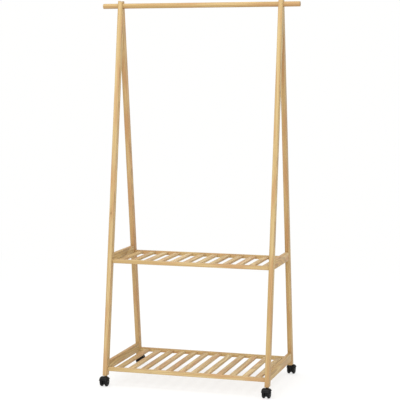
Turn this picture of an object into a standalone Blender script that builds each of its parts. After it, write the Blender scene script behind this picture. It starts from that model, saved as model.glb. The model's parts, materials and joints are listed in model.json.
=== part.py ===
"""Rolling clothes rack: two wooden A-frames, a hanging rod, two slatted shelves and four twin-wheel casters.

Metres, +Z up. X runs along the hanging rod, -Y is the front. The origin is on the floor, under the middle of
the rack. Only the casters move: each housing swivels about its stem, and each wheel turns on its axle.
"""

import math

import bpy
import bmesh
from mathutils import Matrix, Vector

# ---- driving dimensions, metres ----
GAP = 0.0003                  # clearance between pieces that touch

FRAME_SPACING = 0.7126        # between the middle planes of the two A-frames
APEX_HEIGHT = 1.6410          # where the centre lines of a front and a rear leg cross
LEG_LEAN = math.radians(7.612)
LEG_WIDTH = 0.019             # along X
LEG_DEPTH = 0.031             # across the leg, seen from the side
LEG_TOP_RISE = 0.002          # leg end above the crossing, along the leg
LEG_BOTTOM_HEIGHT = 0.0438
LEG_EDGE_CHAMFER = 0.0012

ROD_HEIGHT = 1.6225
ROD_DIAMETER = 0.022
ROD_LENGTH = 0.875
ROD_END_ROUND = 0.0015

RAIL_HEIGHT = 0.016
RAIL_DEPTH = 0.020
BOARD_HEIGHT = 0.038
BOARD_THICKNESS = 0.016
SHELF_EDGE_CHAMFER = 0.0010   # rails and side boards
SLAT_WIDTH = 0.0254
SLAT_THICKNESS = 0.0085
SLAT_EDGE_CHAMFER = 0.0008
SLAT_RECESS = 0.0034          # slat tops below the rail tops
SLAT_SHOULDER = 0.0012        # step from a slat's faces and edges down to its tenon
TENON_LENGTH = 0.007          # how far a slat's end goes into its rail
SLATS_PER_SHELF = 12

# name: (height of the rails' undersides, rail centre from the middle plane Y = 0, slat pitch)
SHELVES = {
    "lower": (0.0634, 0.2068, 0.0560),
    "upper": (0.5209, 0.1470, 0.0582),
}

ROD_SCREW_SHANK = 0.0035
ROD_SCREW_TIP = 0.0021        # flat end of the point
ROD_SCREW_POINT_LENGTH = 0.002
ROD_SCREW_HEAD = 0.0075
ROD_SCREW_HEAD_DEPTH = 0.0028
ROD_SCREW_BITE = 0.006        # how far the screw's tip goes into the rod
ROD_SCREW_INSET = 0.0008      # flat of the head inside the rear leg's rear face

WHEEL_DIAMETER = 0.040
WHEEL_WIDTH = 0.0111
WHEEL_INNER_ROUND = 0.0025    # tread shoulder towards the housing
WHEEL_OUTER_ROUND = 0.0067    # tread shoulder towards the outside
WHEEL_DISH_DEPTH = 0.0016     # recess in a wheel's outer face
WHEEL_DISH_RADIUS = 0.0118
WHEEL_DISH_DRAFT = 0.0012     # how much the dish narrows down to its floor
WHEEL_HUB_RADIUS = 0.0058
WHEEL_HUB_DRAFT = 0.0006
CASTER_TRAIL = 0.016          # from the swivel axis to the wheel axle
WEB_THICKNESS = 0.0116        # housing between its two wheels
WHEEL_CLEARANCE = 0.0004      # between a wheel and the housing's web
AXLE_DIAMETER = 0.004
AXLE_INSET = 0.0006           # axle end below the wheel hub's outer face
RUNNING_GAP = 0.0003          # radial clearance of moving parts
HOOD_CLEARANCE = 0.0007       # between the wheels' treads and the hood
HOOD_THICKNESS = 0.0016
HOOD_LIP_ANGLE = math.radians(62)       # how far the hood's section bends down over the wheels' shoulders
HOOD_FRONT_ANGLE = math.radians(-72)    # from straight up, towards the wheels' free side
HOOD_REAR_ANGLE = math.radians(62)      # from straight up, towards the stem
WEB_HUB_RADIUS = 0.0135
WEB_HUB_START = math.radians(110)       # the hub's half round, measured in the same way
BOSS_DIAMETER = 0.0136
BOSS_TOP = 0.0412
BOSS_BOTTOM = 0.0225
STEM_DIAMETER = 0.008         # the shank inside the leg
STEM_LENGTH = 0.030
JOURNAL_DIAMETER = 0.0070     # the part that the housing turns on
JOURNAL_BOTTOM = 0.0262
SOCKET_BOTTOM = 0.0256
STEM_END_CHAMFER = 0.0009
STEM_FLANGE_DIAMETER = 0.0150
STEM_FLANGE_THICKNESS = 0.0015

CUTTER_OVERSHOOT = 0.010      # how far a cutter reaches out of the face that it opens

# ---- mesh resolution ----
ROD_SEGMENTS = 40
TURNED_SEGMENTS = 24
PIN_SEGMENTS = 16
HUB_ARC_POINTS = 13
WEB_ARC_POINTS = 11
HOOD_ARC_POINTS = 13
INNER_SHOULDER_POINTS = 3
OUTER_SHOULDER_POINTS = 5

# ---- derived ----
HALF_SPACING = FRAME_SPACING / 2
TAN_LEAN = math.tan(LEG_LEAN)
COS_LEAN = math.cos(LEG_LEAN)
WHEEL_RADIUS = WHEEL_DIAMETER / 2
WHEEL_INNER_X = WEB_THICKNESS / 2 + WHEEL_CLEARANCE
WHEEL_OUTER_X = WHEEL_INNER_X + WHEEL_WIDTH
HOOD_INNER_RADIUS = WHEEL_RADIUS + HOOD_CLEARANCE
HOOD_RADIUS = HOOD_INNER_RADIUS + HOOD_THICKNESS
SIDES = {"left": -1, "right": 1}
ENDS = {"front": -1, "rear": 1}


# ---- materials ----
def material(name, color, roughness, metallic=0.0):
    """A plain Principled BSDF finish."""
    mat = bpy.data.materials.new(name)
    mat.use_nodes = True
    shader = mat.node_tree.nodes["Principled BSDF"]
    shader.inputs["Base Color"].default_value = (*color, 1.0)
    shader.inputs["Roughness"].default_value = roughness
    shader.inputs["Metallic"].default_value = metallic
    return mat


def make_materials():
    return {
        "wood": material("wood", (0.66, 0.46, 0.22), 0.5),
        "plastic": material("black_plastic", (0.016, 0.016, 0.018), 0.45),
        "tread": material("wheel_plastic", (0.025, 0.025, 0.028), 0.6),
        "steel": material("zinc_steel", (0.60, 0.60, 0.62), 0.35, 1.0),
    }


# ---- mesh helpers ----
def add_object(name, bm, mat):
    """Makes an object from a bmesh, with its normals facing out."""
    bmesh.ops.recalc_face_normals(bm, faces=bm.faces)
    mesh = bpy.data.meshes.new(name)
    bm.to_mesh(mesh)
    bm.free()
    if mat is not None:
        mesh.materials.append(mat)
    obj = bpy.data.objects.new(name, mesh)
    bpy.context.scene.collection.objects.link(obj)
    return obj


def box_bmesh(low, high):
    """A box between two corners."""
    bm = bmesh.new()
    bmesh.ops.create_cube(bm, size=1.0)
    low = Vector(low)
    high = Vector(high)
    for vert in bm.verts:
        vert.co = Vector((low[i] + (vert.co[i] + 0.5) * (high[i] - low[i]) for i in range(3)))
    return bm


def prism_bmesh(outline, x_low, x_high):
    """A prism along X from an outline of (y, z) points."""
    bm = bmesh.new()
    start = [bm.verts.new((x_low, y, z)) for y, z in outline]
    face = bm.faces.new(start)
    moved = bmesh.ops.extrude_face_region(bm, geom=[face])["geom"]
    for vert in moved:
        if isinstance(vert, bmesh.types.BMVert):
            vert.co.x = x_high
    return bm


def rod_bmesh(radius, low, high, axis, segments):
    """A cylinder on a world axis through the origin, from low to high along that axis."""
    bm = bmesh.new()
    depth = high - low
    bmesh.ops.create_cone(bm, cap_ends=True, segments=segments, radius1=radius, radius2=radius, depth=depth)
    bmesh.ops.translate(bm, verts=bm.verts, vec=(0, 0, (low + high) / 2))
    turn = {"X": Matrix.Rotation(math.pi / 2, 3, "Y"), "Y": Matrix.Rotation(-math.pi / 2, 3, "X")}
    if axis in turn:
        bmesh.ops.rotate(bm, verts=bm.verts, cent=(0, 0, 0), matrix=turn[axis])
    return bm


def turned_bmesh(profile, segments):
    """A closed ring-shaped solid turned about X from a closed profile of (x, radius) points."""
    bm = bmesh.new()
    rings = []
    for i in range(segments):
        angle = 2 * math.pi * i / segments
        rings.append([bm.verts.new((x, r * math.cos(angle), r * math.sin(angle))) for x, r in profile])
    count = len(profile)
    for i in range(segments):
        ring = rings[i]
        following = rings[(i + 1) % segments]
        for j in range(count):
            k = (j + 1) % count
            bm.faces.new((ring[j], following[j], following[k], ring[k]))
    return bm


def stepped_pin_bmesh(steps, segments):
    """A solid turned about Z from its (z, radius) steps, listed from bottom to top."""
    bm = bmesh.new()
    rings = []
    for z, radius in steps:
        ring = []
        for i in range(segments):
            angle = 2 * math.pi * i / segments
            ring.append(bm.verts.new((radius * math.cos(angle), radius * math.sin(angle), z)))
        rings.append(ring)
    for ring, following in zip(rings, rings[1:]):
        for i in range(segments):
            k = (i + 1) % segments
            bm.faces.new((ring[i], ring[k], following[k], following[i]))
    bm.faces.new(rings[0])
    bm.faces.new(rings[-1])
    return bm


def arc_points(centre, radius, start, end, count):
    """Points on an arc, with angles measured from the second coordinate's axis towards the first's."""
    points = []
    for i in range(count):
        angle = start + (end - start) * i / (count - 1)
        points.append((centre[0] + radius * math.sin(angle), centre[1] + radius * math.cos(angle)))
    return points


def cut(obj, cutter):
    """Subtracts a cutter, which stays hidden and parented to the object that it cuts."""
    combine(obj, cutter, "DIFFERENCE")


def join(obj, tool):
    """Adds a hidden solid to the object."""
    combine(obj, tool, "UNION")


def combine(obj, tool, operation):
    modifier = obj.modifiers.new(tool.name, "BOOLEAN")
    modifier.operation = operation
    modifier.solver = "EXACT"
    modifier.object = tool
    tool.parent = obj
    tool.hide_render = True
    tool.display_type = "WIRE"


def soften_edges(obj, width):
    """A small flat chamfer along every edge."""
    bevel = obj.modifiers.new("edges", "BEVEL")
    bevel.width = width
    bevel.segments = 1
    bevel.limit_method = "ANGLE"
    bevel.angle_limit = math.radians(40)


def shade_round(obj, angle=35):
    obj.data.shade_smooth()
    obj.data.set_sharp_from_angle(angle=math.radians(angle))


# ---- the A-frames ----
def leg_bmesh(end, depth, x_low, x_high, top_rise):
    """A leaning leg's solid in world YZ, from x_low to x_high. Its foot is level, its top is square."""
    lean = -end
    along = Vector((0, lean * math.sin(LEG_LEAN), COS_LEAN))
    across = Vector((0, COS_LEAN, -lean * math.sin(LEG_LEAN)))
    apex = Vector((0, 0, APEX_HEIGHT))
    outline = []
    for side in (-1, 1):
        edge = apex + across * (side * depth / 2)
        foot = edge - along * ((edge.z - LEG_BOTTOM_HEIGHT) / COS_LEAN)
        top = edge + along * top_rise
        points = [(foot.y, foot.z), (top.y, top.z)]
        outline += points if side < 0 else points[::-1]
    return prism_bmesh(outline, x_low, x_high)


def leg_centre_y(height):
    """Distance of a leg's centre line from the middle plane at a height."""
    return (APEX_HEIGHT - height) * TAN_LEAN


def make_leg(end_name, side_name, mats):
    """One leg, half-lapped with its partner, bored for the rod, and drilled for its caster's stem."""
    end = ENDS[end_name]
    side = SIDES[side_name]
    name = f"leg_{end_name}_{side_name}"
    centre_x = side * HALF_SPACING
    bm = leg_bmesh(end, LEG_DEPTH, -LEG_WIDTH / 2, LEG_WIDTH / 2, LEG_TOP_RISE)
    leg = add_object(name, bm, mats["wood"])
    leg.location.x = centre_x
    soften_edges(leg, LEG_EDGE_CHAMFER)

    # a front leg keeps its outer half in the lap, a rear leg its inner half
    removed = side * end
    reach = sorted((-removed * GAP / 2, removed * LEG_WIDTH))
    lap = leg_bmesh(-end, LEG_DEPTH + 2 * GAP, *reach, LEG_TOP_RISE + LEG_DEPTH)
    cut(leg, add_object(f"cutter_{name}_lap", lap, None))

    bore = rod_bmesh(ROD_DIAMETER / 2 + GAP, -LEG_WIDTH, LEG_WIDTH, "X", ROD_SEGMENTS)
    bmesh.ops.translate(bore, verts=bore.verts, vec=(0, 0, ROD_HEIGHT))
    cut(leg, add_object(f"cutter_{name}_bore", bore, None))

    stem_y = end * leg_centre_y(LEG_BOTTOM_HEIGHT)
    hole = rod_bmesh(STEM_DIAMETER / 2 + GAP, -CUTTER_OVERSHOOT, STEM_LENGTH + GAP, "Z", TURNED_SEGMENTS)
    bmesh.ops.translate(hole, verts=hole.verts, vec=(0, stem_y, LEG_BOTTOM_HEIGHT))
    cut(leg, add_object(f"cutter_{name}_stem_hole", hole, None))

    if end_name == "rear":
        screw_hole = rod_screw_bmesh(GAP)
        bmesh.ops.translate(screw_hole, verts=screw_hole.verts, vec=(-side * LEG_WIDTH / 4, 0, 0))
        cut(leg, add_object(f"cutter_{name}_screw_hole", screw_hole, None))


# ---- the rod and its screws ----
def rod_screw_outer_y():
    """Where the flat head of a rod screw lies, just inside the rear leg's rear face."""
    return leg_centre_y(ROD_HEIGHT) + LEG_DEPTH / 2 / COS_LEAN - ROD_SCREW_INSET


def rod_screw_bmesh(extra):
    """A countersunk screw through the rear leg into the rod, made larger by extra for its hole."""
    outer = rod_screw_outer_y()
    tip = ROD_DIAMETER / 2 - ROD_SCREW_BITE
    shank = ROD_SCREW_SHANK / 2 + extra
    head = ROD_SCREW_HEAD / 2 + extra
    steps = [
        (tip - extra, ROD_SCREW_TIP / 2 + extra),
        (tip + ROD_SCREW_POINT_LENGTH, shank),
        (outer - ROD_SCREW_HEAD_DEPTH, shank),
        (outer, head),
    ]
    if extra > 0:
        steps.append((outer + CUTTER_OVERSHOOT, head))
    bm = stepped_pin_bmesh(steps, PIN_SEGMENTS)
    bmesh.ops.rotate(bm, verts=bm.verts, cent=(0, 0, 0), matrix=Matrix.Rotation(-math.pi / 2, 3, "X"))
    bmesh.ops.translate(bm, verts=bm.verts, vec=(0, 0, ROD_HEIGHT))
    return bm


def rod_screw_x(side):
    """The screw stands in the inner half of the frame, which the rear leg keeps."""
    return side * (HALF_SPACING - LEG_WIDTH / 4)


def make_rod(mats):
    """The hanging rod, with eased ends and a pilot hole for each screw."""
    radius = ROD_DIAMETER / 2
    half = ROD_LENGTH / 2
    steps = [
        (-half, radius - ROD_END_ROUND),
        (-half + ROD_END_ROUND, radius),
        (half - ROD_END_ROUND, radius),
        (half, radius - ROD_END_ROUND),
    ]
    bm = stepped_pin_bmesh(steps, ROD_SEGMENTS)
    bmesh.ops.rotate(bm, verts=bm.verts, cent=(0, 0, 0), matrix=Matrix.Rotation(math.pi / 2, 3, "Y"))
    rod = add_object("hanging_rod", bm, mats["wood"])
    rod.location.z = ROD_HEIGHT
    for side_name, side in SIDES.items():
        hole = rod_screw_bmesh(GAP)
        bmesh.ops.translate(hole, verts=hole.verts, vec=(rod_screw_x(side), 0, -ROD_HEIGHT))
        cut(rod, add_object(f"cutter_rod_{side_name}", hole, None))
    shade_round(rod)


def make_rod_screw(side_name, mats):
    screw = add_object(f"rod_screw_{side_name}", rod_screw_bmesh(0.0), mats["steel"])
    screw.location.x = rod_screw_x(SIDES[side_name])
    shade_round(screw)


# ---- the shelves ----
def make_rail(shelf, end_name, mats):
    """A rail between the two A-frames, with a mortise for each slat in its inner face."""
    bottom, centre_y, pitch = SHELVES[shelf]
    end = ENDS[end_name]
    half = HALF_SPACING - LEG_WIDTH / 2 - GAP
    name = f"{shelf}_rail_{end_name}"
    bm = box_bmesh((-half, -RAIL_DEPTH / 2, 0), (half, RAIL_DEPTH / 2, RAIL_HEIGHT))
    rail = add_object(name, bm, mats["wood"])
    rail.location = (0, end * centre_y, bottom)
    soften_edges(rail, SHELF_EDGE_CHAMFER)

    inner_y = -end * RAIL_DEPTH / 2
    low_y, high_y = sorted((inner_y + end * (TENON_LENGTH + GAP), inner_y - end * CUTTER_OVERSHOOT))
    top = RAIL_HEIGHT - SLAT_RECESS - SLAT_SHOULDER + GAP
    low = RAIL_HEIGHT - SLAT_RECESS - SLAT_THICKNESS + SLAT_SHOULDER - GAP
    reach = SLAT_WIDTH / 2 - SLAT_SHOULDER + GAP
    mortises = bmesh.new()
    for index in range(SLATS_PER_SHELF):
        x = slat_x(index, pitch)
        one = box_bmesh((x - reach, low_y, low), (x + reach, high_y, top))
        mesh = bpy.data.meshes.new("one_mortise")
        one.to_mesh(mesh)
        one.free()
        mortises.from_mesh(mesh)
        bpy.data.meshes.remove(mesh)
    cut(rail, add_object(f"cutter_{name}_mortises", mortises, None))


def slat_x(index, pitch):
    return (index - (SLATS_PER_SHELF - 1) / 2) * pitch


def slat_section(step, chamfer):
    """The eight (x, z) corners of a slat's section, stepped in from full size. Its top face is at z = 0."""
    half_width = SLAT_WIDTH / 2 - step
    half_height = SLAT_THICKNESS / 2 - step
    corners = []
    for x_sign, z_sign in ((1, 1), (-1, 1), (-1, -1), (1, -1)):
        on_edge = (x_sign * half_width, z_sign * (half_height - chamfer))
        on_face = (x_sign * (half_width - chamfer), z_sign * half_height)
        corners += [on_edge, on_face] if x_sign * z_sign > 0 else [on_face, on_edge]
    return [(x, z - SLAT_THICKNESS / 2) for x, z in corners]


def slat_bmesh(shoulder_y, end_y):
    """A slat along Y with a smaller tenon at each end."""
    full = slat_section(0.0, SLAT_EDGE_CHAMFER)
    tenon = slat_section(SLAT_SHOULDER, SLAT_EDGE_CHAMFER)
    stations = [(-end_y, tenon), (-shoulder_y, tenon), (-shoulder_y, full)]
    stations += [(shoulder_y, full), (shoulder_y, tenon), (end_y, tenon)]
    bm = bmesh.new()
    rings = [[bm.verts.new((x, y, z)) for x, z in section] for y, section in stations]
    for ring, following in zip(rings, rings[1:]):
        for i in range(len(full)):
            k = (i + 1) % len(full)
            bm.faces.new((ring[i], ring[k], following[k], following[i]))
    bm.faces.new(rings[0])
    bm.faces.new(rings[-1])
    return bm


def make_slats(shelf, mats):
    """Flat slats from the front rail to the rear rail. All of a shelf's slats share one mesh."""
    bottom, centre_y, pitch = SHELVES[shelf]
    rail_face = centre_y - RAIL_DEPTH / 2
    top = bottom + RAIL_HEIGHT - SLAT_RECESS
    bm = slat_bmesh(rail_face - GAP, rail_face + TENON_LENGTH)
    first = add_object(f"{shelf}_slat_01", bm, mats["wood"])
    for index in range(SLATS_PER_SHELF):
        slat = first
        if index > 0:
            slat = bpy.data.objects.new(f"{shelf}_slat_{index + 1:02d}", first.data)
            bpy.context.scene.collection.objects.link(slat)
        slat.location = (slat_x(index, pitch), 0, top)


def make_side_board(shelf, side_name, mats):
    """A board between a front and a rear leg, its ends cut to the legs' lean."""
    bottom = SHELVES[shelf][0]
    inner_edge = LEG_DEPTH / 2 / COS_LEAN + GAP
    low = leg_centre_y(bottom) - inner_edge
    high = leg_centre_y(bottom + BOARD_HEIGHT) - inner_edge
    outline = [(-low, 0), (-high, BOARD_HEIGHT), (high, BOARD_HEIGHT), (low, 0)]
    bm = prism_bmesh(outline, -BOARD_THICKNESS / 2, BOARD_THICKNESS / 2)
    board = add_object(f"{shelf}_side_board_{side_name}", bm, mats["wood"])
    board.location = (SIDES[side_name] * HALF_SPACING, 0, bottom)
    soften_edges(board, SHELF_EDGE_CHAMFER)


# ---- the casters ----
def housing_bmesh():
    """The web between the wheels from the side: hub round the axle, up to the hood, over to the boss."""
    axle = (-CASTER_TRAIL, WHEEL_RADIUS)
    hub = arc_points(axle, WEB_HUB_RADIUS, WEB_HUB_START, WEB_HUB_START + math.pi, HUB_ARC_POINTS)
    inside = HOOD_RADIUS - HOOD_THICKNESS / 2
    roof = arc_points(axle, inside, HOOD_FRONT_ANGLE, HOOD_REAR_ANGLE, WEB_ARC_POINTS)
    return prism_bmesh(hub + roof, -WEB_THICKNESS / 2, WEB_THICKNESS / 2)


def shoulder_points(side, distance, end_angle, count):
    """Points (x, radius) along a line at a distance outside the tread, from its flat down a shoulder."""
    centre = (WHEEL_OUTER_X - WHEEL_OUTER_ROUND, WHEEL_RADIUS - WHEEL_OUTER_ROUND)
    points = arc_points(centre, WHEEL_OUTER_ROUND + distance, 0.0, end_angle, count)
    return [(side * x, radius) for x, radius in points]


def hood_section():
    """Closed (x, radius) outline of the hood: across both treads and down over their outer shoulders."""
    outline = []
    for distance in (HOOD_CLEARANCE + HOOD_THICKNESS, HOOD_CLEARANCE):
        left = shoulder_points(-1, distance, HOOD_LIP_ANGLE, OUTER_SHOULDER_POINTS)
        right = shoulder_points(1, distance, HOOD_LIP_ANGLE, OUTER_SHOULDER_POINTS)
        across = left[::-1] + right
        outline += across if not outline else across[::-1]
    return outline


def hood_bmesh():
    """The rounded mudguard over both wheels, swept about the axle."""
    section = hood_section()
    bm = bmesh.new()
    rings = []
    for i in range(HOOD_ARC_POINTS):
        angle = HOOD_FRONT_ANGLE + (HOOD_REAR_ANGLE - HOOD_FRONT_ANGLE) * i / (HOOD_ARC_POINTS - 1)
        ring = []
        for x, radius in section:
            y = -CASTER_TRAIL + radius * math.sin(angle)
            z = WHEEL_RADIUS + radius * math.cos(angle)
            ring.append(bm.verts.new((x, y, z)))
        rings.append(ring)
    for ring, following in zip(rings, rings[1:]):
        for i in range(len(section)):
            k = (i + 1) % len(section)
            bm.faces.new((ring[i], ring[k], following[k], following[i]))
    bm.faces.new(rings[0])
    bm.faces.new(rings[-1])
    return bm


def make_housing(name, mats):
    """Web, hood and boss in one moulding, bored for the axle and for the stem's journal."""
    housing = add_object(f"{name}_housing", housing_bmesh(), mats["plastic"])
    join(housing, add_object(f"cutter_{name}_hood", hood_bmesh(), None))
    boss = rod_bmesh(BOSS_DIAMETER / 2, BOSS_BOTTOM, BOSS_TOP, "Z", TURNED_SEGMENTS)
    clip = WEB_THICKNESS / 2
    for vert in boss.verts:
        if vert.co.z < (BOSS_BOTTOM + BOSS_TOP) / 2:
            vert.co.x = max(-clip, min(clip, vert.co.x))
    join(housing, add_object(f"cutter_{name}_boss", boss, None))

    axle_hole = rod_bmesh(AXLE_DIAMETER / 2 + GAP, -WEB_THICKNESS, WEB_THICKNESS, "X", PIN_SEGMENTS)
    bmesh.ops.translate(axle_hole, verts=axle_hole.verts, vec=(0, -CASTER_TRAIL, WHEEL_RADIUS))
    cut(housing, add_object(f"cutter_{name}_axle_hole", axle_hole, None))
    socket_radius = JOURNAL_DIAMETER / 2 + RUNNING_GAP
    socket = rod_bmesh(socket_radius, SOCKET_BOTTOM, BOSS_TOP + CUTTER_OVERSHOOT, "Z", TURNED_SEGMENTS)
    cut(housing, add_object(f"cutter_{name}_socket", socket, None))
    return housing


def wheel_profile(side):
    """Closed (x, radius) outline of a wheel; side is the direction in which its dished face looks."""
    dish = WHEEL_OUTER_X - WHEEL_DISH_DEPTH
    bore = AXLE_DIAMETER / 2 + RUNNING_GAP
    inner_centre = (WHEEL_INNER_X + WHEEL_INNER_ROUND, WHEEL_RADIUS - WHEEL_INNER_ROUND)
    points = [(WHEEL_INNER_X, bore)]
    points += arc_points(inner_centre, WHEEL_INNER_ROUND, -math.pi / 2, 0.0, INNER_SHOULDER_POINTS)
    points += shoulder_points(1, 0.0, math.pi / 2, OUTER_SHOULDER_POINTS)
    points += [
        (WHEEL_OUTER_X, WHEEL_DISH_RADIUS),
        (dish, WHEEL_DISH_RADIUS - WHEEL_DISH_DRAFT),
        (dish, WHEEL_HUB_RADIUS + WHEEL_HUB_DRAFT),
        (WHEEL_OUTER_X, WHEEL_HUB_RADIUS),
        (WHEEL_OUTER_X, bore),
    ]
    return [(side * x, radius) for x, radius in points]


def make_wheel(name, wheel_side, mats):
    bm = turned_bmesh(wheel_profile(SIDES[wheel_side]), TURNED_SEGMENTS)
    wheel = add_object(f"{name}_wheel_{wheel_side}", bm, mats["tread"])
    shade_round(wheel)
    return wheel


def make_axle(name, mats):
    half = WHEEL_OUTER_X - AXLE_INSET
    bm = rod_bmesh(AXLE_DIAMETER / 2, -half, half, "X", PIN_SEGMENTS)
    axle = add_object(f"{name}_axle", bm, mats["steel"])
    shade_round(axle)
    return axle


def make_stem(name, mats):
    """Steel stem: journal in the housing, flange under the leg, shank pressed into the leg."""
    journal = JOURNAL_DIAMETER / 2
    shank = STEM_DIAMETER / 2
    flange = STEM_FLANGE_DIAMETER / 2
    flange_top = LEG_BOTTOM_HEIGHT - GAP
    flange_bottom = flange_top - STEM_FLANGE_THICKNESS
    shank_top = LEG_BOTTOM_HEIGHT + STEM_LENGTH
    steps = [
        (JOURNAL_BOTTOM, journal - STEM_END_CHAMFER),
        (JOURNAL_BOTTOM + STEM_END_CHAMFER, journal),
        (flange_bottom, journal),
        (flange_bottom, flange),
        (flange_top, flange),
        (flange_top, shank),
        (shank_top - STEM_END_CHAMFER, shank),
        (shank_top, shank - STEM_END_CHAMFER),
    ]
    stem = add_object(f"{name}_stem", stepped_pin_bmesh(steps, TURNED_SEGMENTS), mats["steel"])
    shade_round(stem)
    return stem


def make_caster(end_name, side_name, mats):
    """One caster: the stem stays in the leg, the swivel empty carries the housing, axle and wheels."""
    end = ENDS[end_name]
    name = f"caster_{end_name}_{side_name}"
    place = Vector((SIDES[side_name] * HALF_SPACING, end * leg_centre_y(LEG_BOTTOM_HEIGHT), 0))
    stem = make_stem(name, mats)
    stem.location = place

    # the wheels trail outwards: towards -Y under a front leg, turned half round under a rear leg
    swivel = bpy.data.objects.new(f"{name}_swivel", None)
    bpy.context.scene.collection.objects.link(swivel)
    swivel.location = place
    swivel.rotation_euler.z = 0.0 if end < 0 else math.pi
    make_housing(name, mats).parent = swivel
    axle_place = (0, -CASTER_TRAIL, WHEEL_RADIUS)
    turning = [make_axle(name, mats)]
    turning += [make_wheel(name, wheel_side, mats) for wheel_side in SIDES]
    for piece in turning:
        piece.parent = swivel
        piece.location = axle_place


def main():
    for obj in list(bpy.data.objects):
        bpy.data.objects.remove(obj)
    mats = make_materials()
    for side_name in SIDES:
        for end_name in ENDS:
            make_leg(end_name, side_name, mats)
            make_caster(end_name, side_name, mats)
        make_rod_screw(side_name, mats)
    make_rod(mats)
    for shelf in SHELVES:
        for end_name in ENDS:
            make_rail(shelf, end_name, mats)
        for side_name in SIDES:
            make_side_board(shelf, side_name, mats)
        make_slats(shelf, mats)


main()
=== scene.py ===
"""The looks of the rolling clothes rack: lacquered pine, black twin-wheel casters, zinc-plated steel.

Metres, in the CAD frame: X along the hanging rod, -Y the front, Z up. Every visible piece is built here with
rounded edges and a procedural material, in the place that the CAD node it stands for has.
"""
import json
import math
import random

import bmesh
import bpy
import numpy as np
from mathutils import Matrix, Vector


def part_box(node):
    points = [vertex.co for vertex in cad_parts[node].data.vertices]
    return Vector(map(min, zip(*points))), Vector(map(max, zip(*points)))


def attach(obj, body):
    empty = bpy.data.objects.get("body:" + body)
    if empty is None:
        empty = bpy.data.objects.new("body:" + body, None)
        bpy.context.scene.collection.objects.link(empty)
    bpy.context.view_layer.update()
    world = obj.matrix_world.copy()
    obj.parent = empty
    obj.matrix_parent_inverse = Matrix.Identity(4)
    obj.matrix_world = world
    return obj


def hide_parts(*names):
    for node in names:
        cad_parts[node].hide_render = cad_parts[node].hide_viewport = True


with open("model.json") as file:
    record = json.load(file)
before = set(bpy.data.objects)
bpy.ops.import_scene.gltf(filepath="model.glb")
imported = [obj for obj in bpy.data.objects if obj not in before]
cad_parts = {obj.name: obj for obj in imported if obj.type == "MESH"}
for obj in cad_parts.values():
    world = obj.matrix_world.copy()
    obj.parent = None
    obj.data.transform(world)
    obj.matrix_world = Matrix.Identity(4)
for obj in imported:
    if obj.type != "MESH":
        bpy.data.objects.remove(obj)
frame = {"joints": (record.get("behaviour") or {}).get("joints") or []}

ROOT = "frame"
SIDES = {"left": -1, "right": 1}
ENDS = {"front": -1, "rear": 1}
SHELVES = ("lower", "upper")
SLATS_PER_SHELF = 12

# ---- sizes that the frame's boxes don't give, metres ----
GAP = 0.0003
LEG_LEAN = math.radians(7.612)
LEG_DEPTH = 0.031
LEG_TOP_RISE = 0.002
LEG_ROUND = 0.0022
RAIL_ROUND = 0.0018
BOARD_ROUND = 0.0018
SLAT_ROUND = 0.0014
SLAT_SHOULDER = 0.0012        # step from a slat's faces down to its tenon
SLAT_EASE = 0.0004            # small chamfer round a slat's shoulders
TENON_ROUND = 0.0006
TENON_LENGTH = 0.007
ROD_END_ROUND = 0.0018
EDGE_STEPS = 3
SHARP_ANGLE = 32              # degrees

# 0 is pale sapwood, 1 is red heartwood; the rear legs' high value is partly painted shade, which makes them
# darker than the front legs
LEG_WARMTH_AND_SHADE = {"front": 0.08, "rear": 0.62}
BOARD_WARMTH = 0.45

PLUG_RADIUS = 0.0046
PLUG_PROUD = 0.0003
PLUG_DEPTH = 0.0020
PLUG_CROWN = 0.0004

SCREW_SHANK_RATIO = 0.47      # of the head's radius
SCREW_TIP_RATIO = 0.6         # of the shank's radius
SCREW_POINT_LENGTH = 0.002
RECESS_REACH_RATIO = 0.62     # of the head's radius
RECESS_HALF_WIDTH = 0.00045
RECESS_DEPTH = 0.0014

# radius of the flat middle of a turned piece's end faces
CAP_RADIUS = {"rod": 0.0012, "screw": 0.0002, "plug": 0.0003, "axle": 0.0001, "stem": 0.0002}

WEB_THICKNESS = 0.0116
WEB_HUB_RADIUS = 0.0135
WEB_HUB_START = math.radians(110)
HOOD_CLEARANCE = 0.0007
HOOD_THICKNESS = 0.0016
HOOD_LIP_ANGLE = math.radians(62)
HOOD_LIP_BEAD = 0.0004
HOOD_BEAD_ANGLE = math.radians(9)
HOOD_END_ROUND = 0.0004
WEB_ROUND = 0.0005
HOOD_FRONT_ANGLE = math.radians(-72)
HOOD_REAR_ANGLE = math.radians(62)
BOSS_RADIUS = 0.0068
BOSS_TOP = 0.0412
BOSS_BOTTOM = 0.0225
BOSS_FOOT_STEP = 0.0010       # the boss is thinner by this at its foot
BOSS_FOOT_HEIGHT = 0.002
BOSS_COLLAR_HEIGHT = 0.0040
BOSS_COLLAR_STEP = 0.0004
BOSS_TOP_ROUND = 0.0005
BOSS_FLAT_HEIGHT = 0.005
SOCKET_EXTRA_DEPTH = 0.0006   # below the journal
STEM_SHANK_RATIO = 0.533      # of the flange's radius
STEM_FLANGE_THICKNESS = 0.0015
STEM_GROOVE_DEPTH = 0.0005
JOURNAL_RADIUS = 0.0035
JOURNAL_BOTTOM = 0.0262
AXLE_RADIUS = 0.002
WHEEL_RADIUS = 0.020
WHEEL_WIDTH = 0.0111
WHEEL_CLEARANCE = 0.0004
WHEEL_INNER_ROUND = 0.0025
WHEEL_OUTER_ROUND = 0.0067
CORE_RADIUS = 0.0150
HUB_RADIUS = 0.0052
DISH_DEPTH = 0.0026
DISH_RADIUS = 0.0116
TYRE_SEAT_GAP = 0.0002        # between the core and the tread band
RIB_COUNT = 6
RIB_HALF_WIDTH = 0.0007
RIB_HEIGHT = 0.0014
RIB_ROUND = 0.0003
RIB_OVERLAP = 0.0008          # into the hub and into the rim

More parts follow.
